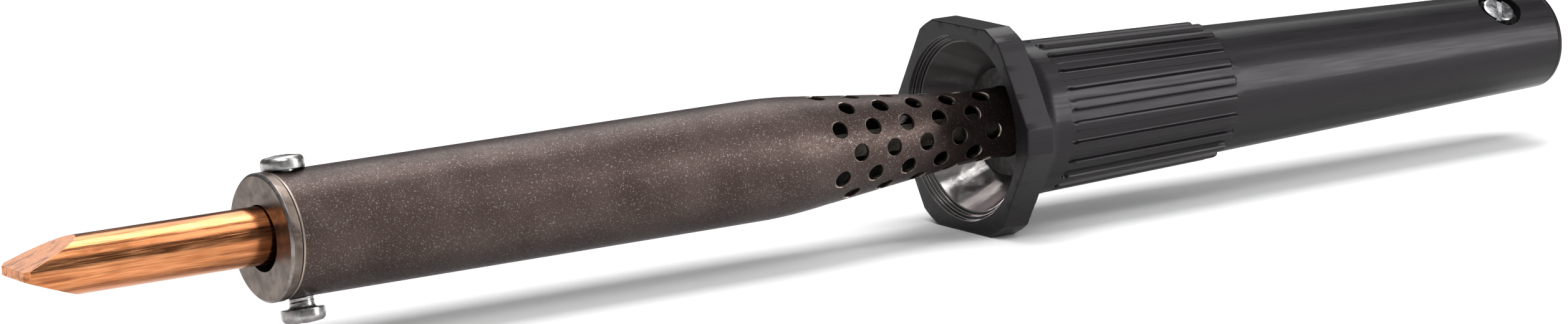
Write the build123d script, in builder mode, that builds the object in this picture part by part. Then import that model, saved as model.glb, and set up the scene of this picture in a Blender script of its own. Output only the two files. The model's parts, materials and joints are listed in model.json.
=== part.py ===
"""Mains soldering iron: a copper chisel bit in a mica heater, a rolled steel casing with
a perforated neck, and a moulded handle with a hexagonal guard.

The iron lies along X with its bit towards -X. The origin is the mouth of the cord inlet,
at the centre of the handle's rear end, and one flat of the guard faces down.
Stations are distances behind the front face of the plug.
"""

from build123d import *
import math
import os

# ---- driving sizes, in millimetres ----

# Bit
bit_radius = 4.6
bit_reach = 42.4            # stands out of the plug
bit_hold = 72.0             # held inside the heater
bit_gap = 0.65              # all round the bit in its bore
bevel_length = 10.6
edge_thickness = 1.4
edge_corner = 0.9           # cut off each end of the chisel edge
bit_rest_gap = 0.15         # left between the bit and its bore where the screw pushes it

# Front plug
collar_step = 0.2           # the collar stands out from the casing by this much
collar_length = 1.9
collar_bevel = 0.35
plug_length = 12.0
plug_gap = 0.3              # groove between the collar and the casing
sleeve_seat = 3.0           # how deep the bit sleeve sits in the plug

# Casing, rolled from sheet with an open butt seam
casing_wall = 0.7
air_gap = 1.65              # between the heater's jacket and the casing
barrel_room = 6.5           # between the heater's end disc and the taper
taper_length = 38.0
neck_cover = 0.4            # how far the handle's mouth overlaps the taper
neck_radius = 5.9
taper_blend = 55.0          # radius of the soft bends at both ends of the taper
seam_width = 0.3
seam_angle = -17.0          # the seam is on the far side of the hole pattern
lip_height = 0.75

# Perforations: rows fan out because the flat blank is narrower at the neck
hole_radius = 1.5
ring_count = 10
ring_pitch = 3.55
first_ring = 8.2            # behind the start of the taper
holes_round = 7             # holes in one full ring of the barrel's radius
fan_power = 0.5             # 0 keeps the spacing along the sheet, 1 keeps the angle
seam_margin = 2.6           # least sheet left between a hole and the seam

# Screws (M4 pan heads at the front, M3 cheese head at the rear)
screw_station = 5.6
screw_angle = 79.0
m4_radius = 2.0
m4_head_radius = 3.5
m4_head_height = 2.4
casing_screw_gap = 0.925    # between this screw's end and the bit
bit_screw_standoff = 1.7
recess_arm = 4.2            # tip to tip of the cross recess
recess_slot = 0.9
recess_depth = 1.4
cord_screw_station = 11.5   # ahead of the handle's rear end
cord_screw_angle = 123.0
m3_radius = 1.5
m3_head_radius = 2.9
m3_head_height = 1.8
head_room = 1.1             # all round the head in its counterbore
head_sink = 0.5             # how far the head sits below the surface
slot_width = 0.9
slot_depth = 0.8

# Heater
sleeve_wall = 0.5
mica_wall = 0.4
coil_wire = 0.5
coil_turns = 40
jacket_wall = 0.4
ring_length = 4.0
ring_gap = 0.3              # between the front ring and the heater
heater_overrun = 8.5        # how far the heater runs past the end of the bit
jacket_tail = 1.5
disc_gap = 3.5              # between the coil and the end disc
disc_length = 5.0
disc_seat = 2.0             # how deep the sleeve sits in the end disc

# Leads
lead_radius = 0.5
lead_spread = 2.6           # each lead's distance from the centre line
lead_exit = 5.5             # straight run behind the coil before the leads bend inwards
lead_bend = 7.5
lead_sleeve_radius = 1.45
lead_bare = 2.45            # bare wire between the bend and its sleeve

# Handle
handle_length = 125.5
guard_apothem = 17.6
guard_corner = 19.2
guard_thickness = 5.1
grip_front_radius = 13.1
grip_start = 13.6           # behind the mouth, where the grooves begin
grip_end = 50.0
rib_height = 0.85
rib_end = 0.6
rear_radius = 8.7
tail_front_radius = 11.1
rear_round = 0.8
groove_count = 22
groove_width = 1.9
groove_relief = 0.04        # the groove floor stands off the tail's surface by this much

# Funnel inside the guard
mouth_radius = 15.7
step_width = 0.65
step_depth = 0.9
funnel_depth = 8.7          # mouth to the ferrule's face

# Cavity of the handle
cavity_rear_radius = 5.4
spigot_room = 1.6           # the ferrule's seat runs past its spigot by this much
end_wall = 5.0
inlet_radius = 3.6

# Ferrule
ferrule_flange = 1.0        # the flange stands out from the spigot by this much
ferrule_thickness = 1.4
ferrule_neck = 0.85         # bore length behind the flange's rear face
spigot_wall = 1.55          # outside the recess for the casing's lip
spigot_length = 7.5
gasket_thickness = 0.6

# Terminal block
block_length = 20.0
block_wall = 0.35           # beside the clamps
block_height = 7.6
block_station = 38.0        # block's front end, behind the mouth
block_chamfer = 1.0
clamp_radius = 2.2
terminal_radius = 1.25
terminal_head_radius = 1.9
terminal_head_height = 1.2
terminal_spacing = 11.0

# Cord clamp
clamp_length = 7.0
clamp_width = 4.4
clamp_thickness = 1.6
cord_diameter = 6.2

# Clearances
fit_gap = 0.05              # pieces that seat in each other
thread_gap = 0.05           # screw to tapped hole
free_gap = 0.25             # screw to plain hole

# ---- worked out from the sizes above ----

# Radii, from the bit outwards
plug_bore = bit_radius + bit_gap
sleeve_radius = plug_bore + sleeve_wall
inner_mica_radius = sleeve_radius + fit_gap
coil_radius = inner_mica_radius + mica_wall + fit_gap
outer_mica_radius = coil_radius + coil_wire + fit_gap
jacket_radius = outer_mica_radius + mica_wall + fit_gap
casing_bore = jacket_radius + jacket_wall + air_gap
casing_radius = casing_bore + casing_wall
collar_radius = casing_radius + collar_step

# Radii, from the casing's neck outwards
neck_bore = neck_radius - casing_wall
neck_fit = neck_radius + fit_gap
lip_fit = neck_radius + lip_height + fit_gap
spigot_radius = lip_fit + spigot_wall
cavity_radius = spigot_radius + fit_gap
ferrule_radius = spigot_radius + ferrule_flange
funnel_floor_radius = ferrule_radius + free_gap

# Stations, from the plug's face backwards
heater_front = plug_length + ring_length + ring_gap
heater_rear = bit_hold + heater_overrun
disc_station = heater_rear + disc_gap
taper_start = disc_station + disc_length + barrel_room
taper_end = taper_start + taper_length
barrel_reach = taper_end - neck_cover

# Places along X
mouth_x = -handle_length
front_x = mouth_x - barrel_reach
tip_x = front_x - bit_reach
bit_lift = bit_gap - bit_rest_gap
ferrule_x = mouth_x + funnel_depth
gasket_x = ferrule_x + ferrule_thickness
floor_x = gasket_x + gasket_thickness
lip_x = gasket_x + ferrule_neck + fit_gap
cavity_cone_x = gasket_x + spigot_length + spigot_room
tail_slope = (tail_front_radius - rear_radius) / (handle_length - grip_end)


def station(distance):
    """The x of a station measured behind the plug's front face."""
    return front_x + distance


def tail_radius(x):
    """Radius of the tail's cone, which also carries the groove floors."""
    return rear_radius - tail_slope * x


def radial(x, angle, distance):
    """A plane at this distance from the centre line, facing outwards at this angle."""
    y = math.cos(math.radians(angle))
    z = math.sin(math.radians(angle))
    return Plane(origin=(x, distance * y, distance * z), x_dir=(1, 0, 0), z_dir=(0, y, z))


def band(start, end, inner, outer):
    """Section of a ring between two x values and two radii, drawn for a revolve about X."""
    with Locations(((start + end) / 2, (inner + outer) / 2)):
        Rectangle(end - start, outer - inner)


def cross_recess(plane):
    """Cuts the cross recess of a screw head downwards from its top face."""
    with BuildSketch(plane) as cross:
        Rectangle(recess_arm, recess_slot)
        Rectangle(recess_slot, recess_arm)
    extrude(cross.sketch, amount=-recess_depth, mode=Mode.SUBTRACT)


def shank(plane, radius, length):
    """Adds a screw's plain shank inwards from the underside of its head."""
    with BuildSketch(plane) as section:
        Circle(radius)
    extrude(section.sketch, amount=-length)


def head(plane, radius, height, rounding):
    """Adds a screw head outwards from its underside, with a rounded top edge."""
    with BuildSketch(plane) as section:
        Circle(radius)
    extrude(section.sketch, amount=height)
    top = faces().sort_by(Axis(plane.origin, plane.z_dir))[-1]
    fillet(top.edges(), rounding)


os.makedirs("parts", exist_ok=True)

# ---- bit ----

bit_axis = Plane.YZ.offset(tip_x)
bit_y = bit_lift * math.cos(math.radians(screw_angle))
bit_z = bit_lift * math.sin(math.radians(screw_angle))

with BuildPart() as bit:
    with BuildSketch(bit_axis):
        with Locations((bit_y, bit_z)):
            Circle(bit_radius)
    extrude(amount=bit_reach + bit_hold)
    for side in (1, -1):
        with BuildSketch(Plane.XZ):
            with BuildLine():
                Polyline(
                    (tip_x, bit_z + side * edge_thickness / 2),
                    (tip_x + bevel_length, bit_z + side * bit_radius),
                    (tip_x, bit_z + side * 2 * bit_radius),
                    close=True,
                )
            make_face()
        extrude(amount=2 * bit_radius, both=True, mode=Mode.SUBTRACT)
        with BuildSketch(Plane.XY):
            with BuildLine():
                Polyline(
                    (tip_x, bit_y + side * (bit_radius - edge_corner)),
                    (tip_x + edge_corner, bit_y + side * bit_radius),
                    (tip_x, bit_y + side * 2 * bit_radius),
                    close=True,
                )
            make_face()
        extrude(amount=2 * bit_radius, both=True, mode=Mode.SUBTRACT)
bit.part.label = "bit"
export_step(bit.part, "parts/bit.step")

# ---- front plug ----

with BuildPart() as front_plug:
    with BuildSketch(Plane.XZ):
        band(front_x, front_x + collar_length, plug_bore, collar_radius)
        band(front_x, station(plug_length), plug_bore, casing_bore - fit_gap)
        seat_start = station(plug_length - sleeve_seat)
        with Locations(((seat_start + station(plug_length)) / 2, 0)):
            Rectangle(sleeve_seat, 2 * (sleeve_radius + fit_gap), mode=Mode.SUBTRACT)
    revolve(axis=Axis.X)
    front_rim = edges().filter_by(GeomType.CIRCLE).group_by(Axis.X)[0].sort_by(SortBy.RADIUS)[-1]
    chamfer(front_rim, collar_bevel)
    for angle in (screw_angle, screw_angle + 180):
        with BuildSketch(radial(station(screw_station), angle, 0)):
            Circle(m4_radius + thread_gap)
        extrude(amount=2 * casing_radius, mode=Mode.SUBTRACT)
front_plug.part.label = "front_plug"
export_step(front_plug.part, "parts/front_plug.step")

# ---- casing ----

casing_start = front_x + collar_length + plug_gap
neck_slope = (casing_radius - neck_radius) / (taper_end - taper_start)


def casing_outer(x):
    """Outer radius of the casing at this x, without the soft bends."""
    along = min(max(x - station(taper_start), 0), taper_end - taper_start)
    return casing_radius - neck_slope * along


def row_step(radius):
    """Angle between neighbouring rows where the casing has this radius, in degrees."""
    return 180 / holes_round * (casing_radius / radius) ** (1 - fan_power)


with BuildPart() as casing:
    with BuildSketch(Plane.XZ):
        with BuildLine():
            outer = FilletPolyline(
                (casing_start, casing_radius),
                (station(taper_start), casing_radius),
                (station(taper_end), neck_radius),
                (lip_x, neck_radius),
                radius=taper_blend,
            )
            inner = FilletPolyline(
                (casing_start, casing_bore),
                (station(taper_start), casing_bore),
                (station(taper_end), neck_bore),
                (lip_x + casing_wall, neck_bore),
                radius=taper_blend,
            )
            Line(outer @ 0, inner @ 0)
            Polyline(
                outer @ 1,
                (lip_x, neck_radius + lip_height),
                (lip_x + casing_wall, neck_radius + lip_height),
                inner @ 1,
            )
        make_face()
    revolve(axis=Axis.X)
    hole_planes = []
    for ring in range(ring_count):
        ring_x = station(taper_start + first_ring + ring * ring_pitch)
        radius = casing_outer(ring_x)
        lead = 0.5 if ring % 2 else -0.5
        for row in range(-holes_round, holes_round + 1):
            turn = (lead + 2 * row) * row_step(radius)
            room = math.radians(180 - abs(turn)) * radius
            if room > hole_radius + seam_margin:
                hole_planes.append(radial(ring_x, seam_angle + 180 + turn, radius / 2))
    with BuildSketch(*hole_planes):
        Circle(hole_radius)
    extrude(amount=casing_radius, mode=Mode.SUBTRACT)
    for angle in (screw_angle, screw_angle + 180):
        with BuildSketch(radial(station(screw_station), angle, 0)):
            Circle(m4_radius + free_gap)
        extrude(amount=2 * casing_radius, mode=Mode.SUBTRACT)
    with BuildSketch(radial((casing_start + lip_x) / 2, seam_angle, 0)):
        Rectangle(2 * (lip_x - casing_start), seam_width)
    extrude(amount=2 * casing_radius, mode=Mode.SUBTRACT)
casing.part.label = "casing"
export_step(casing.part, "parts/casing.step")

# ---- front screws ----

casing_screw_length = casing_radius - bit_radius - bit_lift - casing_screw_gap + fit_gap / 2
casing_screw_seat = radial(station(screw_station), screw_angle, casing_radius + fit_gap / 2)
with BuildPart() as casing_screw:
    head(casing_screw_seat, m4_head_radius, m4_head_height, m4_head_height / 3)
    shank(casing_screw_seat, m4_radius, casing_screw_length)
    cross_recess(casing_screw_seat.offset(m4_head_height))
casing_screw.part.label = "casing_screw"
export_step(casing_screw.part, "parts/casing_screw.step")

bit_screw_reach = casing_radius + bit_screw_standoff
bit_screw_length = bit_screw_reach - (bit_radius - bit_lift) - fit_gap
bit_screw_seat = radial(station(screw_station), screw_angle + 180, bit_screw_reach)
with BuildPart() as bit_screw:
    head(bit_screw_seat, m4_head_radius, m4_head_height, m4_head_height / 3)
    shank(bit_screw_seat, m4_radius, bit_screw_length)
    cross_recess(bit_screw_seat.offset(m4_head_height))
bit_screw.part.label = "bit_screw"
export_step(bit_screw.part, "parts/bit_screw.step")

# ---- heater ----

sleeve_end = station(disc_station + disc_seat)

with BuildPart() as bit_sleeve:
    with BuildSketch(Plane.XZ):
        band(seat_start, sleeve_end, plug_bore, sleeve_radius)
    revolve(axis=Axis.X)
bit_sleeve.part.label = "bit_sleeve"
export_step(bit_sleeve.part, "parts/bit_sleeve.step")

with BuildPart() as front_ring:
    with BuildSketch(Plane.XZ):
        ring_start = station(plug_length)
        band(ring_start, ring_start + ring_length, sleeve_radius + fit_gap, casing_bore - fit_gap)
    revolve(axis=Axis.X)
front_ring.part.label = "front_ring"
export_step(front_ring.part, "parts/front_ring.step")

with BuildPart() as inner_mica:
    with BuildSketch(Plane.XZ):
        band(station(heater_front), station(heater_rear), inner_mica_radius, inner_mica_radius + mica_wall)
    revolve(axis=Axis.X)
inner_mica.part.label = "inner_mica"
export_step(inner_mica.part, "parts/inner_mica.step")

with BuildPart() as heating_coil:
    coil_pitch = (heater_rear - heater_front) / coil_turns
    with BuildSketch(Plane.XZ):
        band(station(heater_front), station(heater_rear), coil_radius, coil_radius + coil_wire / 2)
        for turn in range(coil_turns):
            turn_x = station(heater_front) + (turn + 0.5) * coil_pitch
            band(turn_x - coil_wire / 2, turn_x + coil_wire / 2, coil_radius, coil_radius + coil_wire)
    revolve(axis=Axis.X)
heating_coil.part.label = "heating_coil"
export_step(heating_coil.part, "parts/heating_coil.step")

with BuildPart() as outer_mica:
    with BuildSketch(Plane.XZ):
        band(station(heater_front), station(heater_rear), outer_mica_radius, outer_mica_radius + mica_wall)
    revolve(axis=Axis.X)
outer_mica.part.label = "outer_mica"
export_step(outer_mica.part, "parts/outer_mica.step")

with BuildPart() as heater_jacket:
    jacket_end = station(heater_rear + jacket_tail)
    with BuildSketch(Plane.XZ):
        band(station(heater_front), jacket_end, jacket_radius, jacket_radius + jacket_wall)
    revolve(axis=Axis.X)
heater_jacket.part.label = "heater_jacket"
export_step(heater_jacket.part, "parts/heater_jacket.step")

lead_start_radius = coil_radius + coil_wire / 2
disc_x = station(disc_station)

with BuildPart() as end_disc:
    with BuildSketch(Plane.XZ):
        band(disc_x, disc_x + disc_length, 0, casing_bore - fit_gap)
        band(disc_x, disc_x + disc_seat, 0, sleeve_radius + fit_gap)
    revolve(axis=Axis.X)
    with BuildSketch(Plane.YZ.offset(disc_x)):
        Circle(sleeve_radius + fit_gap)
    extrude(amount=disc_seat, mode=Mode.SUBTRACT)
    with BuildSketch(Plane.YZ.offset(disc_x)):
        with PolarLocations(lead_start_radius, 2):
            Circle(lead_radius + free_gap)
    extrude(amount=disc_length, mode=Mode.SUBTRACT)
end_disc.part.label = "end_disc"
export_step(end_disc.part, "parts/end_disc.step")

# ---- leads ----

block_x = mouth_x + block_station
lead_start = station(heater_rear) + fit_gap
lead_bend_x = lead_start + lead_exit + disc_length
lead_straight_x = lead_bend_x + lead_bend
lead_end = block_x + block_length / 2 - fit_gap

with BuildPart() as lead_wires:
    for side in (1, -1):
        with BuildLine():
            FilletPolyline(
                (lead_start, side * lead_start_radius, 0),
                (lead_bend_x, side * lead_start_radius, 0),
                (lead_straight_x, side * lead_spread, 0),
                (lead_end, side * lead_spread, 0),
                radius=lead_bend,
            )
        with BuildSketch(Plane(origin=(lead_start, side * lead_start_radius, 0), z_dir=(1, 0, 0))):
            Circle(lead_radius)
        sweep()
lead_wires.part.label = "lead_wires"
export_step(lead_wires.part, "parts/lead_wires.step")

with BuildPart() as lead_sleeves:
    sleeve_start = lead_straight_x + lead_bare
    with BuildSketch(Plane.YZ.offset(sleeve_start)):
        with PolarLocations(lead_spread, 2):
            Circle(lead_sleeve_radius)
            Circle(lead_radius + fit_gap, mode=Mode.SUBTRACT)
    extrude(amount=block_x - fit_gap - sleeve_start)
lead_sleeves.part.label = "lead_sleeves"
export_step(lead_sleeves.part, "parts/lead_sleeves.step")

# ---- ferrule and gasket ----

with BuildPart() as neck_ferrule:
    with BuildSketch(Plane.XZ):
        band(ferrule_x, gasket_x, neck_fit, ferrule_radius)
        band(ferrule_x, gasket_x + ferrule_neck, neck_fit, spigot_radius)
        band(gasket_x + ferrule_neck, gasket_x + spigot_length, lip_fit, spigot_radius)
    revolve(axis=Axis.X)
neck_ferrule.part.label = "neck_ferrule"
export_step(neck_ferrule.part, "parts/neck_ferrule.step")

with BuildPart() as ferrule_gasket:
    with BuildSketch(Plane.XZ):
        band(gasket_x, floor_x, spigot_radius + fit_gap, ferrule_radius)
    revolve(axis=Axis.X)
ferrule_gasket.part.label = "ferrule_gasket"
export_step(ferrule_gasket.part, "parts/ferrule_gasket.step")

# ---- handle ----

guard_rear_x = mouth_x + guard_thickness
blend = guard_corner - grip_front_radius
blend_x = guard_rear_x + blend
blend_mid = blend * (1 - math.sqrt(0.5))
grip_rear_x = mouth_x + grip_end
grip_rear_radius = tail_front_radius + rib_height
first_step = mouth_radius - step_width
second_step = first_step - step_width
funnel_x = mouth_x + 2 * step_depth

with BuildPart() as handle:
    with BuildSketch(Plane.XZ):
        with BuildLine():
            Polyline(
                (mouth_x, mouth_radius),
                (mouth_x, guard_corner),
                (guard_rear_x, guard_corner),
            )
            ThreePointArc(
                (guard_rear_x, guard_corner),
                (guard_rear_x + blend_mid, grip_front_radius + blend_mid),
                (blend_x, grip_front_radius),
            )
            Polyline(
                (blend_x, grip_front_radius),
                (grip_rear_x - rib_end, grip_rear_radius),
                (grip_rear_x, grip_rear_radius - rib_end),
                (grip_rear_x, tail_radius(grip_rear_x)),
                (-rear_round, tail_radius(-rear_round)),
            )
            rear_corner = rear_radius - rear_round
            round_mid = rear_round * math.sqrt(0.5)
            ThreePointArc(
                (-rear_round, tail_radius(-rear_round)),
                (-rear_round + round_mid, rear_corner + round_mid),
                (0, rear_corner),
            )
            Polyline(
                (0, rear_corner),
                (0, inlet_radius),
                (-end_wall, inlet_radius),
                (-end_wall, cavity_rear_radius),
                (cavity_cone_x, cavity_radius),
                (floor_x, cavity_radius),
                (floor_x, funnel_floor_radius),
                (funnel_x, second_step),
                (funnel_x, first_step),
                (mouth_x + step_depth, first_step),
                (mouth_x + step_depth, mouth_radius),
                (mouth_x, mouth_radius),
            )
        make_face()
    revolve(axis=Axis.X)
    with BuildSketch(Plane.YZ.offset(mouth_x)):
        Circle(2 * guard_corner)
        RegularPolygon(guard_apothem, 6, major_radius=False, mode=Mode.SUBTRACT)
    extrude(amount=guard_thickness + blend, mode=Mode.SUBTRACT)

    groove_start = mouth_x + grip_start
    groove_angle = math.degrees(math.atan(tail_slope))
    groove_run = grip_rear_x - groove_start + groove_width
    groove_mid = groove_start + groove_run / 2
    groove_planes = []
    groove_floor = tail_radius(groove_mid) + groove_relief
    for groove in range(groove_count):
        floor_plane = radial(groove_mid, 360 / groove_count * (groove + 0.5), groove_floor)
        groove_planes.append(floor_plane.rotated((0, groove_angle, 0)))
    with BuildSketch(*groove_planes):
        SlotOverall(groove_run, groove_width)
    extrude(amount=3 * rib_height, mode=Mode.SUBTRACT)

    cord_screw_x = -cord_screw_station
    counterbore_radius = m3_head_radius + head_room
    counterbore_depth = m3_head_height + head_sink
    seat_radius = tail_radius(cord_screw_x) - counterbore_depth
    with BuildSketch(radial(cord_screw_x, cord_screw_angle, seat_radius)):
        Circle(counterbore_radius)
    extrude(amount=2 * counterbore_depth, mode=Mode.SUBTRACT)
    with BuildSketch(radial(cord_screw_x, cord_screw_angle, 0)):
        Circle(m3_radius + free_gap)
    extrude(amount=rear_radius, mode=Mode.SUBTRACT)
handle.part.label = "handle"
export_step(handle.part, "parts/handle.step")

# ---- terminal block ----

block_mid = block_x + block_length / 2
terminal_xs = [block_mid + side * terminal_spacing / 2 for side in (1, -1)]
terminal_places = [(x, side * lead_spread) for x in terminal_xs for side in (1, -1)]
terminal_seat = clamp_radius + fit_gap
block_width = 2 * (lead_spread + terminal_seat + block_wall)

with BuildPart() as terminal_block:
    with BuildSketch(Plane.YZ.offset(block_x)):
        Rectangle(block_width, block_height)
        chamfer(vertices(), block_chamfer)
        with PolarLocations(lead_spread, 2):
            Circle(terminal_seat, mode=Mode.SUBTRACT)
    extrude(amount=block_length)
    with BuildSketch(Plane.XY):
        with Locations(*terminal_places):
            Circle(terminal_head_radius + fit_gap)
    extrude(amount=block_height, mode=Mode.SUBTRACT)
terminal_block.part.label = "terminal_block"
export_step(terminal_block.part, "parts/terminal_block.step")

with BuildPart() as terminal_clamps:
    with BuildSketch(Plane.YZ.offset(block_x + fit_gap)):
        with PolarLocations(lead_spread, 2):
            Circle(clamp_radius)
            Circle(lead_radius + fit_gap, mode=Mode.SUBTRACT)
    extrude(amount=block_length - 2 * fit_gap)
    with BuildSketch(Plane.XY.offset(lead_radius + fit_gap)):
        with Locations(*terminal_places):
            Circle(terminal_radius + thread_gap)
    extrude(amount=clamp_radius, mode=Mode.SUBTRACT)
terminal_clamps.part.label = "terminal_clamps"
export_step(terminal_clamps.part, "parts/terminal_clamps.step")

with BuildPart() as terminal_screws:
    with BuildSketch(Plane.XY.offset(lead_radius + 2 * fit_gap)):
        with Locations(*terminal_places):
            Circle(terminal_radius)
    extrude(amount=terminal_seat - lead_radius)
    with BuildSketch(Plane.XY.offset(terminal_seat)):
        with Locations(*terminal_places):
            Circle(terminal_head_radius)
    extrude(amount=terminal_head_height)
terminal_screws.part.label = "terminal_screws"
export_step(terminal_screws.part, "parts/terminal_screws.step")

# ---- cord clamp ----

cavity_slope = (cavity_radius - cavity_rear_radius) / (-end_wall - cavity_cone_x)
cavity_here = cavity_rear_radius + cavity_slope * (-end_wall - cord_screw_x)
clamp_floor = cord_diameter - cavity_here
clamp_top = clamp_floor + clamp_thickness
cord_screw_seat = radial(cord_screw_x, cord_screw_angle, seat_radius + fit_gap)

with BuildPart() as cord_screw:
    head(cord_screw_seat, m3_head_radius, m3_head_height, m3_head_height / 6)
    shank(cord_screw_seat, m3_radius, seat_radius - clamp_top)
    with BuildSketch(cord_screw_seat.offset(m3_head_height)):
        Rectangle(2 * m3_head_radius, slot_width, rotation=55)
    extrude(amount=-slot_depth, mode=Mode.SUBTRACT)
cord_screw.part.label = "cord_screw"
export_step(cord_screw.part, "parts/cord_screw.step")

with BuildPart() as cord_clamp:
    with BuildSketch(radial(cord_screw_x, cord_screw_angle, clamp_floor)):
        SlotOverall(clamp_length, clamp_width)
    extrude(amount=clamp_thickness)
cord_clamp.part.label = "cord_clamp"
export_step(cord_clamp.part, "parts/cord_clamp.step")
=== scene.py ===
"""Looks of the soldering iron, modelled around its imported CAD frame, in metres."""

import json
import math

import bmesh
import bpy
from mathutils import Matrix, Vector


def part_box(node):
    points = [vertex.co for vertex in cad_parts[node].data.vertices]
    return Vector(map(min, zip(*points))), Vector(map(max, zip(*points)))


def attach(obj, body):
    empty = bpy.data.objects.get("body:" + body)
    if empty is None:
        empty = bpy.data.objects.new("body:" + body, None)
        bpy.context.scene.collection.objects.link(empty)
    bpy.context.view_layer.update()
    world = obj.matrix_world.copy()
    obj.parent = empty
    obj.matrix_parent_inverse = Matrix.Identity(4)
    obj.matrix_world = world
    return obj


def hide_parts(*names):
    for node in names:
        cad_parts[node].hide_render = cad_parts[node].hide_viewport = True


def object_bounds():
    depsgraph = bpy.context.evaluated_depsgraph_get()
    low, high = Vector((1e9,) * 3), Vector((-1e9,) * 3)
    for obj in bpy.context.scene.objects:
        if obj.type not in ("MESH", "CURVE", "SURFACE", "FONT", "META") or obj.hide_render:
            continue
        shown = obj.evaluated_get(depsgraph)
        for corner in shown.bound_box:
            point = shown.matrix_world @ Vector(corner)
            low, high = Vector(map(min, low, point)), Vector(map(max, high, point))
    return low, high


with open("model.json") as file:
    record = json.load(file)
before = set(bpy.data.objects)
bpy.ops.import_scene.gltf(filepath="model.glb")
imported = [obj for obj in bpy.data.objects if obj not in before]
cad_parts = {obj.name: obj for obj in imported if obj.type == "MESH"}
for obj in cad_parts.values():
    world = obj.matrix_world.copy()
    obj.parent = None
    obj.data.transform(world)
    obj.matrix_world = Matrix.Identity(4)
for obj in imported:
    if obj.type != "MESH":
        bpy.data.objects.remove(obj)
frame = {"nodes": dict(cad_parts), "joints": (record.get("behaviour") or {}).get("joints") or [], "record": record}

CAD_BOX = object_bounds()
MM = 0.001
TURN = 2 * math.pi

# ---------------------------------------------------------------- places read from the frame


def radius_of(node):
    """Half of a turned node's size across the iron."""
    low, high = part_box(node)
    return (high.z - low.z) / 2


def middle_x(node):
    """Middle of a node along the iron."""
    low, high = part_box(node)
    return (low.x + high.x) / 2


def reach(node, axis):
    """Lowest and highest position of a node along an axis through the origin."""
    along = [vertex.co.dot(axis) for vertex in frame["nodes"][node].data.vertices]
    return min(along), max(along)


def joint_axis(name):
    """Unit axis of a joint, by the joint's name."""
    return Vector(next(j["axis"] for j in frame["joints"] if j["name"] == name)).normalized()


handle_low, handle_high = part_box("handle")
mouth_x, rear_x = handle_low.x, handle_high.x
guard_corner = handle_high.y
guard_apothem = handle_high.z
casing_low, casing_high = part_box("casing")
casing_radius = radius_of("casing")
plug_low, plug_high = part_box("front_plug")
plug_x = plug_low.x
collar_radius = radius_of("front_plug")
bit_low, bit_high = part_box("bit")
bit_radius = radius_of("bit")
bit_y = (bit_low.y + bit_high.y) / 2
bit_z = (bit_low.z + bit_high.z) / 2
ferrule_low, ferrule_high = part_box("neck_ferrule")
ferrule_radius = radius_of("neck_ferrule")
gasket_low, gasket_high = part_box("ferrule_gasket")

# ---------------------------------------------------------------- mesh helpers


def place_mesh(name, mesh, material):
    """An object in the scene with this mesh and material."""
    piece = bpy.data.objects.new(name, mesh)
    bpy.context.scene.collection.objects.link(piece)
    mesh.materials.append(material)
    return piece


def new_piece(name, vertices, faces, material, smooth_angle=32):
    """An object with this mesh and material, shaded smooth up to an angle in degrees."""
    mesh = bpy.data.meshes.new(name)
    mesh.from_pydata([tuple(v) for v in vertices], [], faces)
    mesh.validate()
    piece = place_mesh(name, mesh, material)
    shade(piece, smooth_angle)
    return piece


def place_bmesh(name, shape, material):
    """An object made from this finished bmesh, which is freed."""
    mesh = bpy.data.meshes.new(name)
    shape.to_mesh(mesh)
    shape.free()
    return place_mesh(name, mesh, material)


def shade(piece, smooth_angle=32):
    """Smooth shading with edges kept sharp above an angle, and outward normals."""
    tidy = bmesh.new()
    tidy.from_mesh(piece.data)
    bmesh.ops.recalc_face_normals(tidy, faces=tidy.faces)
    tidy.to_mesh(piece.data)
    tidy.free()
    piece.data.polygons.foreach_set("use_smooth", [True] * len(piece.data.polygons))
    piece.data.set_sharp_from_angle(angle=math.radians(smooth_angle))


def apply_modifiers(piece):
    """Puts the result of the piece's modifiers into its own mesh."""
    graph = bpy.context.evaluated_depsgraph_get()
    mesh = bpy.data.meshes.new_from_object(piece.evaluated_get(graph))
    piece.modifiers.clear()
    piece.data = mesh


def weigh_normals(piece):
    """Large faces keep their own normals and small roundings take up the change."""
    modifier = piece.modifiers.new("weighted", "WEIGHTED_NORMAL")
    modifier.keep_sharp = True
    modifier.weight = 90
    apply_modifiers(piece)


def soften(outline, radius, steps=4):
    """The closed outline with each corner rounded by at most this radius."""
    points = []
    count = len(outline)
    most_of_side = 0.45
    for i, corner in enumerate(outline):
        here = Vector(corner)
        before = Vector(outline[i - 1]) - here
        after = Vector(outline[(i + 1) % count]) - here
        size = min(radius, most_of_side * before.length, most_of_side * after.length)
        start = here + before.normalized() * size
        end = here + after.normalized() * size
        for step in range(steps + 1):
            t = step / steps
            points.append(start * (1 - t) ** 2 + here * 2 * t * (1 - t) + end * t ** 2)
    return points


def ring_faces(rows, columns, closed):
    """Quads of a grid whose columns run round, with its rows closed on themselves or its ends capped."""
    faces = []
    for row in range(rows if closed else rows - 1):
        below = (row + 1) % rows
        for column in range(columns):
            beside = (column + 1) % columns
            faces.append((row * columns + column, row * columns + beside,
                          below * columns + beside, below * columns + column))
    if not closed:
        last = (rows - 1) * columns
        faces.append(tuple(range(columns)))
        faces.append(tuple(last + column for column in range(columns)))
    return faces


def circle(segments):
    """Cosine and sine of evenly spaced angles, once round."""
    angles = [TURN * segment / segments for segment in range(segments)]
    return [(math.cos(angle), math.sin(angle)) for angle in angles]


def lathe(name, outline, material, segments=128):
    """A ring about the iron's axis from a closed outline of (x, radius) points."""
    vertices = [(x, radius * c, radius * s) for x, radius in outline for c, s in circle(segments)]
    return new_piece(name, vertices, ring_faces(len(outline), segments, True), material)


def stand(piece, origin, axis):
    """Moves a mesh modelled about its own Z so that Z points along axis from origin."""
    z = axis.normalized()
    x = Vector((1, 0, 0))
    y = z.cross(x)
    place = Matrix((x, y, z)).transposed().to_4x4()
    place.translation = origin
    piece.data.transform(place)
    return piece


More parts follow.
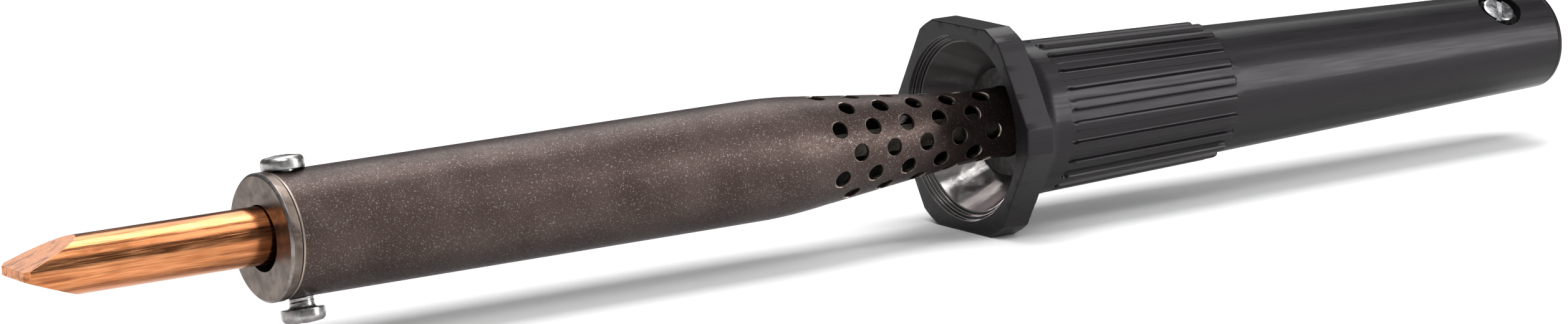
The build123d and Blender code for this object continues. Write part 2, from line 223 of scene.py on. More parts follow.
def upright(name, outline, material, segments=64, smooth_angle=32):
    """A solid turned about Z from an outline of (radius, height) points, with flat ends."""
    vertices = [(radius * c, radius * s, z) for radius, z in outline for c, s in circle(segments)]
    return new_piece(name, vertices, ring_faces(len(outline), segments, False), material, smooth_angle)


def cut(piece, cutters):
    """Cuts these tools out of the piece and deletes them."""
    for cutter in cutters:
        modifier = piece.modifiers.new("cut", "BOOLEAN")
        modifier.operation = "DIFFERENCE"
        modifier.solver = "MANIFOLD"
        modifier.object = cutter
    apply_modifiers(piece)
    for cutter in cutters:
        bpy.data.objects.remove(cutter)


def join(name, pieces, material):
    """One mesh object from several."""
    merged = bmesh.new()
    for piece in pieces:
        merged.from_mesh(piece.data)
        bpy.data.objects.remove(piece)
    return place_bmesh(name, merged, material)


# ---------------------------------------------------------------- materials


class Finish:
    """A node material, with short calls for the patterns that the finishes share."""

    def __init__(self, name, **sockets):
        """A new material, with plain numbers set on the shader's own sockets."""
        self.material = bpy.data.materials.new(name)
        self.material.use_nodes = True
        self.tree = self.material.node_tree
        self.shader = self.tree.nodes["Principled BSDF"]
        for socket, value in sockets.items():
            self.shader.inputs[socket.replace("_", " ")].default_value = value
        self.place = self.tree.nodes.new("ShaderNodeTexCoord")

    def noise(self, scale, detail=4, stretch=(1, 1, 1), distortion=0):
        """Noise with scale times stretch waves to the metre along each axis."""
        mapping = self.tree.nodes.new("ShaderNodeMapping")
        mapping.inputs["Scale"].default_value = stretch
        self.tree.links.new(self.place.outputs["Object"], mapping.inputs["Vector"])
        noise = self.tree.nodes.new("ShaderNodeTexNoise")
        noise.inputs["Scale"].default_value = scale
        noise.inputs["Detail"].default_value = detail
        noise.inputs["Distortion"].default_value = distortion
        self.tree.links.new(mapping.outputs["Vector"], noise.inputs["Vector"])
        return noise.outputs["Fac"]

    def span(self, value, low, high, to_low=0.0, to_high=1.0):
        """The value's range stretched to another range, and held inside it."""
        node = self.tree.nodes.new("ShaderNodeMapRange")
        ends = {"From Min": low, "From Max": high, "To Min": to_low, "To Max": to_high}
        for socket, number in ends.items():
            node.inputs[socket].default_value = number
        self.tree.links.new(value, node.inputs["Value"])
        return node.outputs["Result"]

    def math(self, operation, first, second=0.0):
        """Arithmetic on one or two values, where either may be a number."""
        node = self.tree.nodes.new("ShaderNodeMath")
        node.operation = operation
        for socket, value in zip(node.inputs, (first, second)):
            if isinstance(value, (int, float)):
                socket.default_value = value
            else:
                self.tree.links.new(value, socket)
        return node.outputs["Value"]

    def colours(self, value, *stops):
        """Colours along a value: stops are (position, (r, g, b))."""
        ramp = self.tree.nodes.new("ShaderNodeValToRGB")
        elements = ramp.color_ramp.elements
        while len(elements) < len(stops):
            elements.new(0.5)
        for element, (position, colour) in zip(elements, stops):
            element.position = position
            element.color = (*colour, 1)
        self.tree.links.new(value, ramp.inputs["Fac"])
        return ramp.outputs["Color"]

    def mix(self, share, first, second):
        """Two colours mixed by a share."""
        node = self.tree.nodes.new("ShaderNodeMix")
        node.data_type = "RGBA"
        sockets = [s for s in node.inputs if s.type == "RGBA"]
        self.tree.links.new(share, node.inputs["Factor"])
        for socket, value in zip(sockets, (first, second)):
            if isinstance(value, tuple):
                socket.default_value = (*value, 1)
            else:
                self.tree.links.new(value, socket)
        return next(s for s in node.outputs if s.type == "RGBA")

    def between(self, share, first, second):
        """Two values mixed by a share."""
        node = self.tree.nodes.new("ShaderNodeMix")
        values = [s for s in node.inputs if s.type == "VALUE"]
        for value, socket in zip((share, first, second), values):
            self.tree.links.new(value, socket)
        return node.outputs[0]

    def drive(self, socket, value):
        """Gives one of the shader's sockets a value that varies over the surface."""
        self.tree.links.new(value, self.shader.inputs[socket])

    def colour(self, value):
        """The surface's colour."""
        self.drive("Base Color", value)

    def roughness(self, value):
        """How rough the surface is, from 0, a mirror, to 1."""
        self.drive("Roughness", value)

    def bump(self, height, depth, strength=1.0):
        """Adds relief of this depth, in metres, on top of any earlier relief."""
        node = self.tree.nodes.new("ShaderNodeBump")
        node.inputs["Strength"].default_value = strength
        node.inputs["Distance"].default_value = depth
        self.tree.links.new(height, node.inputs["Height"])
        earlier = self.shader.inputs["Normal"].links
        if earlier:
            self.tree.links.new(earlier[0].from_socket, node.inputs["Normal"])
        self.tree.links.new(node.outputs["Normal"], self.shader.inputs["Normal"])

    def vector(self, operation, first, second=None):
        """Vector arithmetic on a socket and, where needed, a second socket or a constant."""
        node = self.tree.nodes.new("ShaderNodeVectorMath")
        node.operation = operation
        self.tree.links.new(first, node.inputs[0])
        if isinstance(second, tuple):
            node.inputs[1].default_value = second
        elif second:
            self.tree.links.new(second, node.inputs[1])
        return node.outputs["Value" if operation in ("LENGTH", "DOT_PRODUCT") else "Vector"]

    def along(self, axis=(1, 0, 0)):
        """Position along an axis through the origin, in metres."""
        return self.vector("DOT_PRODUCT", self.place.outputs["Object"], axis)

    def across(self):
        """Position with its part along the axis taken out."""
        return self.vector("MULTIPLY", self.place.outputs["Object"], (0, 1, 1))

    def from_axis(self):
        """Distance from the iron's axis, in metres."""
        return self.vector("LENGTH", self.across())

    def facing_out(self):
        """How far the surface faces away from the iron's axis: 1 is straight out."""
        outward = self.vector("NORMALIZE", self.across())
        return self.vector("DOT_PRODUCT", outward, self.place.outputs["Normal"])


def copper():
    """Rolled copper rod: brushed along its length, with dark heat streaks."""
    f = Finish("bit_copper", Metallic=1.0)
    fine = f.noise(1.0, 3, (200, 5200, 5200))
    streak = f.noise(1.0, 6, (45, 1100, 1100), 0.6)
    blotch = f.noise(150, 4)
    clean = f.colours(fine, (0.34, (0.44, 0.152, 0.056)), (0.66, (0.69, 0.30, 0.133)))
    oxide = f.math("MULTIPLY", f.span(streak, 0.46, 0.64), f.span(blotch, 0.35, 0.58, 0.35, 1.0))
    f.colour(f.mix(oxide, clean, (0.25, 0.085, 0.034)))
    f.roughness(f.span(fine, 0.3, 0.7, 0.14, 0.28))
    f.bump(fine, 0.02 * MM, 0.45)
    f.bump(f.noise(420, 3), 0.03 * MM, 0.25)
    return f.material


def casing_steel():
    """Heat-browned lacquered steel: speckled outside, worn at its front edge, with a painted highlight on the
    flared rims of its holes, and black inside.
    """
    f = Finish("casing_steel", Metallic=0.85)
    cloud = f.noise(110, 5)
    base = f.colours(cloud, (0.34, (0.041, 0.026, 0.022)), (0.66, (0.064, 0.044, 0.038)))
    fleck = f.span(f.noise(3900, 3), 0.57, 0.72, 0.0, 0.55)
    grain = f.mix(fleck, base, (0.29, 0.28, 0.28))
    out = f.facing_out()
    # A painted highlight on the flared rim of each hole, and real wear on the front edge of the barrel
    rim = f.math("MULTIPLY", f.span(out, 0.975, 0.75, 0.0, 0.8), f.span(out, 0.10, 0.35))
    front = f.span(f.along(), plug_x + 2.6 * MM, plug_x + 2.25 * MM, 0.0, 0.8)
    # The lighter colour is a painted highlight on the hole rims and bare-metal wear on the front edge
    worn = f.mix(f.math("MAXIMUM", rim, front), grain, (0.60, 0.50, 0.43))
    f.colour(f.mix(f.span(out, 0.05, -0.05), worn, (0.012, 0.010, 0.009)))
    f.roughness(f.span(f.noise(1300, 4), 0.3, 0.7, 0.34, 0.46))
    f.bump(f.noise(3000, 3), 0.02 * MM, 0.6)
    f.bump(f.noise(60, 2), 0.10 * MM, 0.3)
    return f.material


def plug_steel():
    """Turned steel, browned by heat, with its corner worn bright."""
    f = Finish("plug_steel", Metallic=0.95)
    stain = f.noise(330, 6, distortion=0.5)
    brown = f.colours(stain, (0.34, (0.086, 0.064, 0.053)), (0.66, (0.19, 0.152, 0.13)))
    outermost = f.span(f.from_axis(), collar_radius - 0.46 * MM, collar_radius - 0.36 * MM)
    foremost = f.span(f.along(), plug_x + 0.50 * MM, plug_x + 0.40 * MM)
    corner = f.math("MULTIPLY", outermost, foremost)
    patchy = f.math("MULTIPLY", corner, f.span(f.noise(900, 4), 0.35, 0.55, 0.35, 1.0))
    f.colour(f.mix(patchy, brown, (0.27, 0.25, 0.24)))
    f.roughness(f.span(f.noise(1500, 3), 0.3, 0.7, 0.26, 0.42))
    turning_marks = f.math("FRACT", f.math("MULTIPLY", f.from_axis(), 5200))
    f.bump(turning_marks, 0.004 * MM, 0.35)
    return f.material


def bright_steel(name, low, high, roughness):
    """Worn bright screw steel with stains in its plating."""
    f = Finish(name, Metallic=1.0)
    wear = f.noise(620, 5, distortion=0.8)
    f.colour(f.colours(wear, (0.36, low), (0.60, high)))
    f.roughness(f.span(f.noise(1400, 3), 0.3, 0.7, roughness - 0.07, roughness + 0.12))
    f.bump(f.noise(1200, 3), 0.012 * MM, 0.25)
    return f.material


def handle_black():
    """Satin black moulding with faint drag marks, whose funnel has a painted reflection: grey and metallic at its
    bottom, fading to black at its top.
    """
    f = Finish("handle_black", Specular_IOR_Level=0.20, Specular_Tint=(1, 0.955, 0.99, 1))
    drag = f.noise(1.0, 4, (70, 2400, 2400))
    satin = f.span(drag, 0.3, 0.7, 0.25, 0.36)
    inside = f.math("MULTIPLY", f.span(f.facing_out(), -0.04, -0.20),
                    f.span(f.along(), mouth_x + 12 * MM, mouth_x + 11 * MM))
    gloss = f.span(f.noise(500, 4), 0.35, 0.65, 0.10, 0.22)
    f.roughness(f.between(inside, satin, gloss))
    height = f.along((0, 0, 1))
    # Painted reflection: the funnel's inside turns grey and metallic towards its bottom
    painted_funnel_sheen = f.math("MULTIPLY", inside, f.span(height, 5 * MM, -5 * MM, 0.12, 1.0))
    f.drive("Metallic", f.math("MULTIPLY", painted_funnel_sheen, 0.9))
    f.colour(f.mix(painted_funnel_sheen, (0.0080, 0.0070, 0.0078), (0.58, 0.55, 0.535)))
    f.bump(f.noise(1.0, 3, (120, 3600, 3600)), 0.006 * MM, 0.5)
    f.bump(f.noise(2400, 2), 0.006 * MM, 0.45)
    unevenness = f.math("ADD", f.math("MULTIPLY", inside, 4.0), 1.0)
    f.bump(f.math("MULTIPLY", f.noise(260, 3), unevenness), 0.03 * MM, 0.25)
    return f.material


def plain(name, low, high, metallic, roughness, scale=900):
    """A quiet mottled finish for the pieces inside."""
    f = Finish(name, Metallic=metallic)
    f.colour(f.colours(f.noise(scale, 4), (0.35, low), (0.65, high)))
    f.roughness(f.span(f.noise(scale * 2, 3), 0.3, 0.7, roughness - 0.06, roughness + 0.08))
    f.bump(f.noise(scale * 3, 3), 0.02 * MM, 0.4)
    return f.material


looks = {
    "bit_copper": copper(),
    "casing_steel": casing_steel(),
    "plug_steel": plug_steel(),
    "screw_zinc": bright_steel("screw_zinc", (0.30, 0.29, 0.285), (0.47, 0.46, 0.455), 0.30),
    "cord_screw_steel": bright_steel("cord_screw_steel", (0.16, 0.16, 0.165), (0.40, 0.40, 0.41), 0.24),
    "small_screws": bright_steel("small_screws", (0.45, 0.45, 0.46), (0.65, 0.65, 0.66), 0.3),
    "handle_black": handle_black(),
    "ferrule_steel": plain("ferrule_steel", (0.020, 0.019, 0.018), (0.055, 0.052, 0.050), 0.8, 0.40),
    "bare_steel": plain("bare_steel", (0.30, 0.28, 0.27), (0.42, 0.40, 0.39), 1.0, 0.38),
    "ceramic": plain("ceramic", (0.62, 0.59, 0.52), (0.75, 0.72, 0.66), 0.0, 0.75),
    "mica": plain("mica", (0.36, 0.27, 0.16), (0.58, 0.47, 0.30), 0.0, 0.35, 500),
    "resistance_wire": plain("resistance_wire", (0.20, 0.19, 0.18), (0.34, 0.33, 0.31), 1.0, 0.45),
    "glass_sleeving": plain("glass_sleeving", (0.035, 0.026, 0.02), (0.10, 0.08, 0.062), 0.0, 0.7, 1600),
    "gasket_fibre": plain("gasket_fibre", (0.03, 0.028, 0.025), (0.06, 0.055, 0.05), 0.0, 0.85),
    "block_moulding": plain("block_moulding", (0.13, 0.055, 0.03), (0.2, 0.09, 0.05), 0.0, 0.45),
    "brass": plain("brass", (0.62, 0.44, 0.16), (0.78, 0.60, 0.28), 1.0, 0.3),
    "clamp_fibre": plain("clamp_fibre", (0.13, 0.06, 0.035), (0.2, 0.1, 0.06), 0.0, 0.7),
}

slots = {entry["node"]: entry["material_slot"] for entry in frame["record"]["subparts"]}
body_of = {}
for body, nodes in frame["record"]["behaviour"]["bodies"].items():
    body_of.update({node: body for node in nodes})

for node, slot in slots.items():
    materials = frame["nodes"][node].data.materials
    materials.clear()
    materials.append(looks[slot])


def stand_for(piece, node):
    """The piece rides on the node's body and stands for the node, which is hidden."""
    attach(piece, body_of[node])
    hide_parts(node)


# ---------------------------------------------------------------- bit

bevel_length = 10.6 * MM
edge_thickness = 1.4 * MM
edge_corner = 0.9 * MM
edge_wear = 0.16 * MM
bit_segments = 144


def make_bit():
    """A rod ground to a chisel by two flats, with its edges slightly worn round."""
    mesh = bmesh.new()
    bmesh.ops.create_cone(mesh, cap_ends=True, segments=bit_segments, radius1=bit_radius,
                          radius2=bit_radius, depth=bit_high.x - bit_low.x)
    bmesh.ops.rotate(mesh, verts=mesh.verts, matrix=Matrix.Rotation(math.pi / 2, 3, "Y"))
    bmesh.ops.translate(mesh, verts=mesh.verts, vec=Vector((middle_x("bit"), bit_y, bit_z)))
    tip = Vector((bit_low.x, bit_y, bit_z))
    rise = bit_radius - edge_thickness / 2
    planes = []
    for side in (1, -1):
        planes.append((tip + Vector((0, 0, side * edge_thickness / 2)),
                       Vector((-rise, 0, side * bevel_length)).normalized()))
        planes.append((tip + Vector((0, side * (bit_radius - edge_corner), 0)),
                       Vector((-1, side, 0)).normalized()))
    for point, normal in planes:
        geometry = mesh.verts[:] + mesh.edges[:] + mesh.faces[:]
        found = bmesh.ops.bisect_plane(mesh, geom=geometry, plane_co=point, plane_no=normal,
                                       clear_outer=True)
        rim = [e for e in found["geom_cut"] if isinstance(e, bmesh.types.BMEdge)]
        bmesh.ops.contextual_create(mesh, geom=rim)
    bmesh.ops.recalc_face_normals(mesh, faces=mesh.faces)
    corner = math.radians(12)
    worn = [e for e in mesh.edges if len(e.link_faces) == 2 and e.calc_face_angle() > corner]
    bmesh.ops.bevel(mesh, geom=worn, offset=edge_wear, segments=3, affect="EDGES", profile=0.5,
                    clamp_overlap=True)
    rod = place_bmesh("bit_rod", mesh, looks["bit_copper"])
    shade(rod, 30)
    weigh_normals(rod)
    stand_for(rod, "bit")


# ---------------------------------------------------------------- front plug

collar_length = 1.9 * MM
plug_bore = 5.25 * MM
m4_hole = 2.05 * MM
screw_axis = joint_axis("casing_screw_slide")
screw_x = middle_x("casing_screw")


def radial_drill(radius):
    """A cylinder across the iron at the front screws."""
    reach_out = 2 * casing_radius
    drill = upright("drill", [(radius, -reach_out), (radius, reach_out)], looks["plug_steel"])
    return stand(drill, Vector((screw_x, 0, 0)), screw_axis)


def make_plug():
    """The turned plug: a collar with a worn bevel, and a spigot inside the casing."""
    spigot = casing_radius - 0.75 * MM      # inside the casing's wall, with a small gap
    bevel = 0.42 * MM
    end = plug_high.x
    seat = 5.8 * MM
    seat_x = end - 3 * MM
    outline = [
        (plug_x, plug_bore), (plug_x, collar_radius - bevel), (plug_x + bevel, collar_radius),
        (plug_x + collar_length, collar_radius), (plug_x + collar_length, spigot), (end, spigot),
        (end, seat), (seat_x, seat), (seat_x, plug_bore),
    ]
    plug = lathe("turned_plug", soften(outline, 0.10 * MM, 3), looks["plug_steel"], 160)
    cut(plug, [radial_drill(m4_hole)])
    shade(plug)
    weigh_normals(plug)
    stand_for(plug, "front_plug")


# ---------------------------------------------------------------- casing

casing_wall = 0.7 * MM
casing_screw_hole = 2.25 * MM
taper_start = plug_x + 95.5 * MM
taper_end = plug_x + 133.5 * MM
neck_radius = 5.9 * MM
taper_blend = 5.5 * MM          # half-length of the soft bends at the ends of the taper
lip_height = 0.75 * MM
seam_angle = math.radians(-17)
seam_width = 0.3 * MM
hole_radius = 1.5 * MM
ring_count = 10
ring_pitch = 3.55 * MM
first_ring = plug_x + 103.7 * MM
holes_round = 7                 # how many fit once round the full barrel
fan_power = 0.5                 # 0 keeps the spacing as the neck narrows, 1 keeps the angle
seam_margin = 2.6 * MM          # least distance from a hole's edge to the seam


def smooth_ramp(x):
    """Distance along the taper with soft ends, as the barrel is swaged."""
    if x < taper_start - taper_blend:
        return 0.0
    if x < taper_start + taper_blend:
        return (x - taper_start + taper_blend) ** 2 / (4 * taper_blend)
    if x < taper_end - taper_blend:
        return x - taper_start
    if x < taper_end + taper_blend:
        return taper_end - taper_start - (taper_end + taper_blend - x) ** 2 / (4 * taper_blend)
    return taper_end - taper_start


def casing_outer(x):
    """Outer radius of the casing at this x."""
    return casing_radius - (casing_radius - neck_radius) * smooth_ramp(x) / (taper_end - taper_start)


def hole_places():
    """Point on the axis, outward direction and casing radius at each hole of the neck."""
    places = []
    for ring in range(ring_count):
        x = first_ring + ring * ring_pitch
        along = min(max(x - taper_start, 0), taper_end - taper_start)
        radius = casing_radius - (casing_radius - neck_radius) * along / (taper_end - taper_start)
        step = math.pi / holes_round * (casing_radius / radius) ** (1 - fan_power)
        lead = 0.5 if ring % 2 else -0.5
        for row in range(-holes_round, holes_round + 1):
            turn = (lead + 2 * row) * step
            if (math.pi - abs(turn)) * radius > hole_radius + seam_margin:
                angle = seam_angle + math.pi + turn
                out = Vector((0, math.cos(angle), math.sin(angle)))
                places.append((Vector((x, 0, 0)), out, casing_outer(x)))
    return places


def hole_cutter(origin, out, radius):
    """A drill whose mouth flares a little where the punched sheet is rounded."""
    flare = 0.30 * MM
    outline = [
        (hole_radius - 0.04 * MM, radius - 2.2 * casing_wall),
        (hole_radius - 0.04 * MM, radius - flare),
        (hole_radius + 0.02 * MM, radius - 0.5 * flare),
        (hole_radius + 0.13 * MM, radius - 0.15 * flare),
        (hole_radius + 0.36 * MM, radius + 0.10 * MM),
        (hole_radius + 0.60 * MM, radius + 1.2 * MM),
    ]
    return stand(upright("punch", outline, looks["casing_steel"], 40), origin, out)


def seam_cutter(start, end):
    """A square bar, stretched into a thin blade that stands over the seam's line."""
    outline = [(seam_width / 2, 0), (seam_width / 2, 2 * casing_radius)]
    seam = upright("seam", outline, looks["casing_steel"], 4)
    seam.data.transform(Matrix.Rotation(math.pi / 4, 4, "Z"))
    seam.data.transform(Matrix.Diagonal((4 * (end - start) / seam_width, math.sqrt(2), 1, 1)))
    out = Vector((0, math.cos(seam_angle), math.sin(seam_angle)))
    return stand(seam, Vector(((start + end) / 2, 0, 0)), out)


def make_casing():
    """The rolled barrel with its seam, screw holes and perforated neck."""
    start, end = casing_low.x, casing_high.x
    lip = end - casing_wall
    barrel_step = 10 * MM
    taper_step = 0.9 * MM
    stations = [start + 0.25 * MM, start + 4 * MM]
    x = start + barrel_step
    while x < taper_start - taper_blend:
        stations.append(x)
        x += barrel_step
    while x < lip - 0.4 * MM:
        stations.append(x)
        x += taper_step
    outer = [(x, casing_outer(x)) for x in stations]
    inner = [(x, casing_outer(x) - casing_wall) for x in reversed(stations)]
    edge = 0.12 * MM
    outline = [(start, casing_radius - casing_wall + edge), (start, casing_radius - 0.25 * MM),
               (start + 0.07 * MM, casing_radius - 0.07 * MM)]
    outline += outer
    outline += [(lip, neck_radius), (lip, neck_radius + lip_height), (end, neck_radius + lip_height),
                (end, neck_radius - casing_wall)]
    outline += inner
    shell = lathe("casing_shell", outline, looks["casing_steel"], 224)
    cutters = [hole_cutter(*place) for place in hole_places()]
    drill = radial_drill(casing_screw_hole)
    tools = join("punches", cutters, looks["casing_steel"])
    cut(shell, [tools, drill, seam_cutter(start, end)])
    shade(shell, 34)
    weigh_normals(shell)
    stand_for(shell, "casing")


# ---------------------------------------------------------------- screws

pan_radius = 3.5 * MM
pan_height = 2.4 * MM
cheese_radius = 2.9 * MM
cheese_height = 1.8 * MM
cross_length, cross_width, cross_depth = 4.0 * MM, 0.85 * MM, 1.4 * MM
slot_width, slot_depth = 0.9 * MM, 0.8 * MM
m4_thread = (2.0 * MM, 0.7 * MM)        # radius of the shank, pitch
m3_thread = (1.5 * MM, 0.5 * MM)
thread_depth = 0.14                     # share of the pitch
head_overlap = 0.05 * MM                # how far the shank runs up into the head
throat_radius = 0.55 * MM
throat_overlap = 0.02 * MM

# Outlines from the underside's middle to the top's middle, as shares of the radius and the height
pan_start = ((0.02, 0), (0.955, 0), (0.985, 0.03), (1, 0.12))
pan_end = ((0.45, 0.955), (0.20, 0.99), (0.02, 1))
cheese_section = (
    (0.02, 0), (0.97, 0), (1, 0.05), (1, 0.80), (0.985, 0.90), (0.93, 0.97), (0.85, 1), (0.02, 1),
)


def quarter(steps):
    """Evenly spaced angles over a quarter turn."""
    return [math.pi / 2 * step / steps for step in range(steps + 1)]


def thread(radius, pitch, low, high, material):
    """A threaded shank about Z, as one helical ridge wound round a core."""
    depth = thread_depth * pitch
    segments = 48
    per_turn = 10
    rows = int((high - low) / pitch * per_turn) + 1
    vertices = []
    for row in range(rows):
        z = low + (high - low) * row / (rows - 1)
        fade = min(1, (rows - 1 - row) / per_turn, row / per_turn)
        for segment, (c, s) in enumerate(circle(segments)):
            phase = (z / pitch - segment / segments) % 1
            ridge = max(0.0, 1 - abs(2 * phase - 1) * 1.25)
            r = radius - depth + depth * ridge * fade
            vertices.append((r * c, r * s, z))
    return new_piece("shank", vertices, ring_faces(rows, segments, False), material, 50)


def throat(radius, material):
    """The concave rounding between a shank of this radius and the underside of its head."""
    outline = [(0.2 * radius, -2 * throat_radius), (radius - throat_overlap, -1.6 * throat_radius)]
    for angle in quarter(6):
        outline.append((radius + throat_radius * (1 - math.cos(angle)),
                        -throat_radius * (1 - math.sin(angle))))
    outline += [(radius + throat_radius, throat_overlap), (0.2 * radius, throat_overlap)]
    return upright("throat", outline, material, 72, 50)


def bar_cutter(length, width, depth, top, turn, material):
    """Tool for one straight slot: a bar whose ends lean in towards the bottom."""
    half, wide = length / 2, width / 2
    taper = 0.55
    corners = []
    for z, grow in ((top - depth, taper), (top + depth, 2 - taper)):
        end = half * grow
        corners += [(end, wide, z), (-end, wide, z), (-end, -wide, z), (end, -wide, z)]
    faces = [(0, 1, 2, 3), (7, 6, 5, 4), (0, 4, 5, 1), (1, 5, 6, 2), (2, 6, 7, 3), (3, 7, 4, 0)]
    bar = new_piece("bar", corners, faces, material)
    bar.data.transform(Matrix.Rotation(turn, 4, "Z"))
    return bar


def crossed_head(material):
    """Pan head above Z = 0, with bulging sides, a soft crown and a cross recess."""
    outline = [(r * pan_radius, z * pan_height) for r, z in pan_start]
    for angle in quarter(10):
        outline.append((pan_radius * (0.68 + 0.32 * math.cos(angle) ** 0.8),
                        pan_height * (0.48 + 0.42 * math.sin(angle))))
    outline += [(r * pan_radius, z * pan_height) for r, z in pan_end]
    head = upright("head", outline, material, 96, 35)
    cut(head, [bar_cutter(cross_length, cross_width, cross_depth, pan_height, turn, material)
               for turn in (0, math.pi / 2)])
    shade(head, 35)
    return head


def slotted_head(material):
    """Cheese head above Z = 0, with one straight slot."""
    outline = [(r * cheese_radius, z * cheese_height) for r, z in cheese_section]
    head = upright("head", outline, material, 96, 35)
    past_both_sides = 3 * cheese_radius
    cut(head, [bar_cutter(past_both_sides, slot_width, slot_depth, cheese_height, 0, material)])
    shade(head, 35)
    return head


def make_screw(node, head_shape, head_height, shank_radius, pitch, spin, with_throat=False):
    """A screw on its joint's axis, with its recess turned by spin degrees."""
    axis = joint_axis(node + "_slide")
    low, high = reach(node, axis)
    seat = high - head_height
    material = looks[slots[node]]
    pieces = [head_shape(material), thread(shank_radius, pitch, low - seat, head_overlap, material)]
    if with_throat:
        pieces.append(throat(shank_radius, material))
    screw = join(node + "_turned", pieces, material)
    screw.data.transform(Matrix.Rotation(math.radians(spin), 4, "Z"))
    screw.data.polygons.foreach_set("use_smooth", [True] * len(screw.data.polygons))
    stand(screw, Vector((middle_x(node), 0, 0)) + axis * seat, axis)
    stand_for(screw, node)


def make_screws():
    """The two front screws and the cord screw."""
    make_screw("casing_screw", crossed_head, pan_height, *m4_thread, spin=20)
    make_screw("bit_screw", crossed_head, pan_height, *m4_thread, spin=50, with_throat=True)
    make_screw("cord_screw", slotted_head, cheese_height, *m3_thread, spin=55)


# ---------------------------------------------------------------- ferrule


def make_ferrule():
    """The flanged bush at the bottom of the funnel."""
    x0, x1 = ferrule_low.x, ferrule_high.x
    flange = gasket_low.x
    gap = 0.05 * MM
    bore = neck_radius + gap
    spigot = ferrule_radius - 1.0 * MM
    pocket = neck_radius + lip_height + gap
    pocket_x = flange + 0.85 * MM
    outline = [
        (x0, bore), (x0, ferrule_radius), (flange, ferrule_radius), (flange, spigot), (x1, spigot),
        (x1, pocket), (pocket_x, pocket), (pocket_x, bore),
    ]
    ferrule = lathe("flanged_bush", soften(outline, 0.18 * MM, 3), looks["ferrule_steel"])
    weigh_normals(ferrule)
    stand_for(ferrule, "neck_ferrule")


# ---------------------------------------------------------------- handle

guard_thickness = 5.1 * MM
grip_front_radius = 13.1 * MM
groove_start = mouth_x + 13.6 * MM
groove_count = 22
groove_half = 0.95 * MM
groove_bulb = 1.10 * MM         # the cutter leaves a slightly wider round at each groove's front end
rib_height = 0.85 * MM
rib_end = 0.6 * MM
grip_end = mouth_x + 50.0 * MM
tail_front_radius = 11.1 * MM
rear_radius = 8.7 * MM
rear_round = 0.8 * MM
line_x = rear_x - 1.15 * MM     # a fine moulding line round the tail
line_half = 0.09 * MM
line_sink = 0.07 * MM
face_radius = 16.6 * MM         # a round row between the mouth and the six flats
mouth_radius = 15.7 * MM
mouth_edge = 0.10 * MM
step_width = 0.65 * MM
step_depth = 0.9 * MM
funnel_floor_radius = 9.5 * MM
funnel_bow = 0.35 * MM
end_wall = 5.0 * MM
inlet_radius = 3.6 * MM
cavity_rear_radius = 5.4 * MM
recess_radius = 4.0 * MM
recess_floor = 1.85 * MM        # below the top of the cord screw's head
cord_screw_hole = 1.75 * MM
blend = guard_corner - grip_front_radius
blend_x = mouth_x + guard_thickness + blend
groove_front = (0.02, 0.06, 0.14, 0.26, 0.42, 0.62, 0.85, 1.1, 1.4, 1.62)   # mm from groove_start
rib_back = (0.8, 0.6, 0.4, 0.22, 0.1, 0.03)     # shares of rib_end before grip_end


def tail_radius(x):
    """Radius of the tail's cone, on which the groove floors lie too."""
    return rear_radius + (tail_front_radius - rear_radius) * (rear_x - x) / (rear_x - grip_end)


def grip_radius(x):
    """Radius of the ribs' tops."""
    share = (x - blend_x) / (grip_end - blend_x)
    return grip_front_radius + share * (tail_front_radius + rib_height - grip_front_radius)


# Half of a groove, from its centre line up onto the rib: distance in mm, share of the rib's height
groove_section = (
    (0.00, 0.00), (0.58, 0.00), (0.79, 0.03), (0.90, 0.12), (0.96, 0.34), (1.01, 0.60),
    (1.06, 0.80), (1.14, 0.93), (1.26, 0.99), (1.48, 1.00),
)


def groove_width(x):
    """Half-width of a groove at this x: rounded at its front end, open at the rear."""
    inside = x - groove_start
    if inside <= 0:
        return 0.0
    bulb = 0.0
    if inside < 2 * groove_bulb:
        bulb = math.sqrt(groove_bulb ** 2 - (groove_bulb - inside) ** 2)
    return max(bulb, groove_half if inside > 0.5 * groove_bulb else 0.0)


def grip_row(x):
    """Radius and angle of every point round the grip at this x."""
    width = groove_width(x)
    top = grip_radius(x)
    floor = tail_radius(x)
    past = (x - (grip_end - rib_end)) / rib_end
    drop = math.sqrt(max(0.0, 1 - past ** 2)) if past > 0 else 1.0
    pitch = TURN / groove_count
    half = []
    for distance, share in groove_section:
        offset = distance * MM * width / groove_half
        if distance * MM >= groove_half:
            offset = max(width, 0.1 * MM) + distance * MM - groove_half
        height = share if width > 0 else 1.0
        half.append((offset / top, floor + (top - floor) * height * drop))
    row = []
    for groove in range(groove_count):
        centre = (groove + 0.5) * pitch
        for offset, radius in reversed(half[1:]):
            row.append((radius, centre - offset))
        for offset, radius in half:
            row.append((radius, centre + offset))
        row.append((floor + (top - floor) * drop, centre + pitch / 2))
    return row


column_count = groove_count * 2 * len(groove_section)
corner_half = math.acos(guard_apothem / guard_corner)      # half of a flat, seen from the axis
# The columns' angles, taken where the grooves have not begun
plain_angles = [angle for _, angle in grip_row(groove_start - 5 * MM)]


def plain_row(radius):
    """A round row with the same columns as the grip."""
    return [(radius, angle) for angle in plain_angles]


def guard_row(radius, inset=0.0):
    """A row cut by the guard's six flats, with columns moved onto the flats' ends."""
    angles = list(plain_angles)
    for flat in range(6):
        for side in (-1, 1):
            target = math.radians(90 + 60 * flat) + side * corner_half
            near = min(range(len(angles)), key=lambda i: abs(math.remainder(angles[i] - target, TURN)))
            angles[near] += math.remainder(target - angles[near], TURN)
    row = []
    for angle in angles:
        from_flat = math.remainder(angle - math.pi / 2, math.pi / 3)
        row.append((min(radius, (guard_apothem - inset) / math.cos(from_flat)), angle))
    return row


